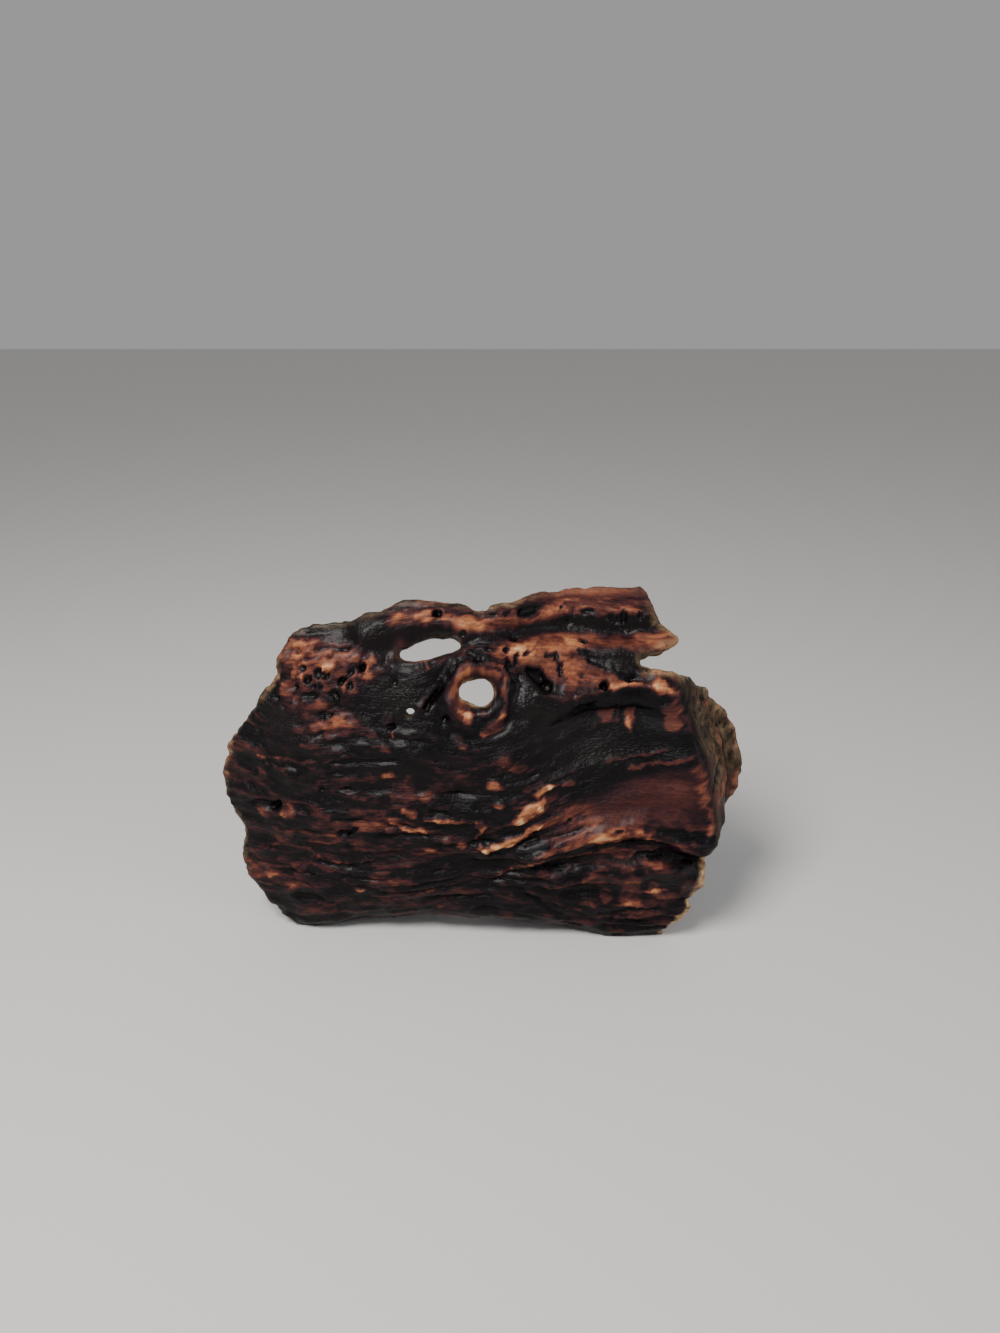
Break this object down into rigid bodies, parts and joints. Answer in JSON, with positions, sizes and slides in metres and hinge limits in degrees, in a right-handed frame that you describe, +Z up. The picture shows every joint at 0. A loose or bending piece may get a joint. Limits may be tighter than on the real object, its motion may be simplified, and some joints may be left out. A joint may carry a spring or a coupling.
{
  "type": "driftwood hide",
  "caption": "Driftwood hide: a curved, hollow-backed slab of dark water-worn log, standing on its lower edge, with a knot hole, a long slot and a folded right end.",
  "frame": {"origin": "middle of the object's box, on the surface that it stands on", "axes": "+X along the grain, to the right seen from the front; +Y towards the hollow back; +Z up"},
  "size_m": [0.2757, 0.0715, 0.1835],
  "materials": {
    "driftwood": "gloss"
  },
  "bodies": {
    "root": {"driftwood": "driftwood"}
  },
  "joints": []
}
